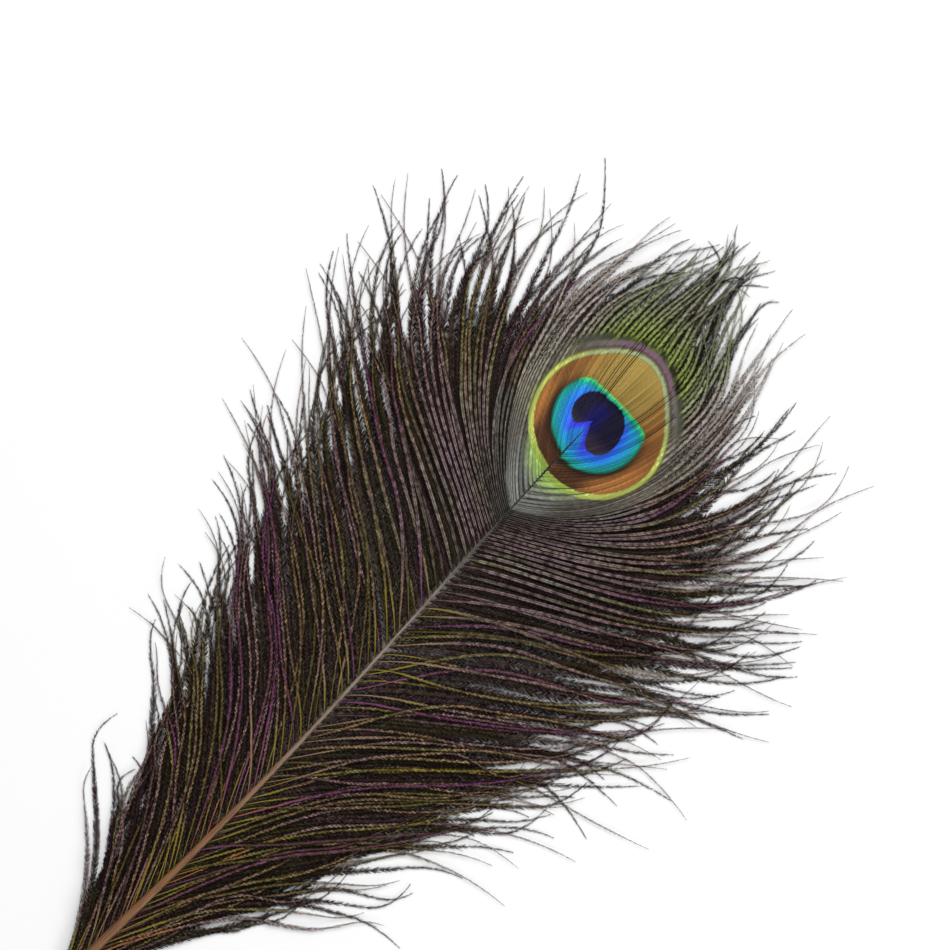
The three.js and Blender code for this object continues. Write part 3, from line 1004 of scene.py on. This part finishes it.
# shine holds the colours of the painted highlights: gold, straw, copper, rose and magenta glints, cream
# and lilac beside the eye, and silver by the V.
shine = hue.rise(0.12, 0.2).blend(OLD_GOLD, STRAW)
shine = hue.rise(0.32, 0.42).blend(shine, COPPER)
shine = hue.rise(0.54, 0.62).blend(shine, ROSE)
shine = magenta.blend(shine, MAGENTA)
shine = near_eye.blend(shine, hue.rise(0.2, 0.8).blend(EYE_SIDE_CREAM, EYE_SIDE_LILAC))
shine = silver.blend(shine, SILVER)
# Under the top layer, the highlights are dimmed with painted shade.
shine = on_top.blend(shine.shaded(LOWER_LAYER_SHADE_TINT), shine)

# Each cord has painted shade at the ends of its blades, and painted highlights as strokes on its tufts or
# as strips beside the eye, dimmer on the lower layer and brightening and fading along the barb.
body = across_blade.rise(0.75, 0.15)
stroke = fleck.rise(0.42, 0.7) * across_blade.rise(0.7, 0.15)
strips = across_blade.band(0.42, 0.42, 0.1) * (0.55 + fleck * 0.15) * (0.15 + on_top * 0.85)
twist_glint = {"W": along_barb * 0.11 + strand * 89}
twist_glint = tone.node("ShaderNodeTexNoise", {"noise_dimensions": "1D"}, twist_glint)
glint = stroke * (1 - near_eye) + strips * near_eye
glint = glint * own.rise(-0.4, 0.65) * (twist_glint.rise(0.3, 0.65) + 0.25)
colour = glint.blend(body.blend(dark, mid), shine)
bare = (along_barb - own * 18).rise(11, 2) * y.rise(-38, -66) * on_top
bare = bare * ((strand * 11.1).fraction().rise(0.3, 0.7) * 0.85 + 0.15)
bare_tint = hue.rise(0.6, 0.7).blend(BARE_OLIVE, BARE_TAN)
bare_tint = magenta.blend(bare_tint, BARE_MAGENTA)
bare_tint = (own.rise(0.6, 0.75) * y.rise(-120, -155)).blend(bare_tint, BARE_ORANGE)
colour = (bare * across_blade.rise(0.6, 0.2)).blend(colour, bare_tint)
feed(herl_look, "Base Color", colour)
feed(herl_look, "Metallic", fleck * 0.3)
feed(herl_look, "Roughness", 0.4 + fleck * 0.2)
herl_look.inputs["Specular IOR Level"].default_value = LOOSE_GLOSS


def loose_barb_rows(side, first_root, last_root):
    """The places of the barbs of both layers. They grow closer or wider away from the eye."""
    rows = []
    for layer in (LOWER_LAYER, TOP_LAYER):
        near, far = ROOT_GAP[layer]

        def root_gap(below_eye):
            return near + (far - near) * smoothstep(50, 100, below_eye)

        rows.append(barb_places(side, first_root, last_root, root_gap, SIDE_GAP[layer], SIDE_GAP_AT))
    return rows


for side, word in ((LEFT, "left"), (RIGHT, "right")):
    dice = np.random.default_rng(LOOSE_SEED + side)
    for part, first_root, last_root in PARTS:
        rows = loose_barb_rows(side, first_root, last_root)
        plume = Plume(len(rows[LOWER_LAYER]) + len(rows[TOP_LAYER]))
        for layer, places in enumerate(rows):
            for i, down in enumerate(places):
                if i % BUNCH == 0:
                    bunch = dice.normal(0, 0.5)
                pull = (bunch + (1.5 - i % BUNCH) * 0.3) * BUNCH_PULL + dice.normal(0, BARB_PULL)
                pull *= 0.6 + 0.4 * layer
                is_stray = layer * (dice.random() < STRAY_SHARE)
                pull += is_stray * dice.normal(0, STRAY_PULL)
                root_y = root_at(np.array([down]))[0]
                is_low = float(smoothstep(-50, -85, root_y))
                lean = layer * dice.uniform(*TOP_LAYER_LEAN) * is_low
                shift = layer * dice.normal(0, TOP_LAYER_SHIFT) * is_low
                height = dice.uniform(*LOOSE_RAISE) + layer * dice.uniform(*TOP_LAYER_RAISE)

                def drift(out):
                    return shift + pull * out * out - lean * smoothstep(0, 0.4, out) * (1 - 0.5 * out)

                def settle(path, out):
                    rise = height * smoothstep(0, 0.3, out) * (1 - 0.5 * out)
                    path[:, 2] += TOP_LAYER_LIFT * layer + rise

                is_last = float(smoothstep(-165, -200, root_y))
                curl = wavy(dice, 6 + 2 * is_last, 1.3 + is_last, 0.6 - 0.35 * is_last, wave_from=0.25)
                shortest = 0.8 - 0.16 * float(smoothstep(-130, -190, root_y))
                length = dice.uniform(shortest, 1) + layer * dice.random() ** 3 * 0.08
                path, along, out = lay_barb(side, down, length, drift, settle, curl)
                gaps = neighbour_gaps(side, places, i, out, EYE_PITCH)
                strand = dice.random()
                radius = np.interp(out, [0, 0.1, 0.5, 1], LOOSE_STEM_RADIUS)
                plume.stem(path, along, radius, strand, layer)
                share = out / out[-1]
                tip = smoothstep(0.55, 1, share)
                bare_until = dice.uniform(0.04, 0.2) * layer * float(smoothstep(-35, -75, root_y))
                full = 0.3 + 0.7 * smoothstep(0, bare_until + 0.02, out)
                slant = LOOSE_SLANT - LOOSE_TIP_SLANT_LOSS * tip
                twist = sway(dice, along / TWIST_LENGTH, 2) * 0.5
                beside_eye = smoothstep(-80, -42, root_y) * smoothstep(62, 20, along)
                for outer in (False, True):
                    left_of_barb = -side if outer else side
                    overlap = 0.65 * gaps[outer] + 0.1 + out * 0.5
                    overlap -= layer * beside_eye * (0.16 * gaps[outer] + 0.1 + out * 0.5)
                    reach = np.minimum(LOOSE_REACH[layer], overlap)
                    reach = reach * full * (1 - 0.65 * tip) * (1 - 0.5 * smoothstep(0.94, 1, share))
                    reach = reach * (1 - 0.15 * layer * beside_eye)
                    if not (outer or layer):
                        reach = reach * (1 + 0.9 * smoothstep(0.05, 0, out))
                    roll = left_of_barb * twist * (0.4 + 0.6 * layer) - 0.15
                    end_width = 1.1 - 0.15 * layer - 0.75 * tip
                    shape = reach, slant, roll, end_width, 1 - 0.3 * tip
                    plume.barbules(path, along, left_of_barb, LOOSE_BLADE_SPACING[layer], shape,
                                   1 - 0.7 * beside_eye, strand, layer, dice, LOOSE_TUFT_LENGTH)
                plume.barbs += 1
        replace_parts(plume.mesh(word + "_" + part + "_barbs", herl), word + "_vane")
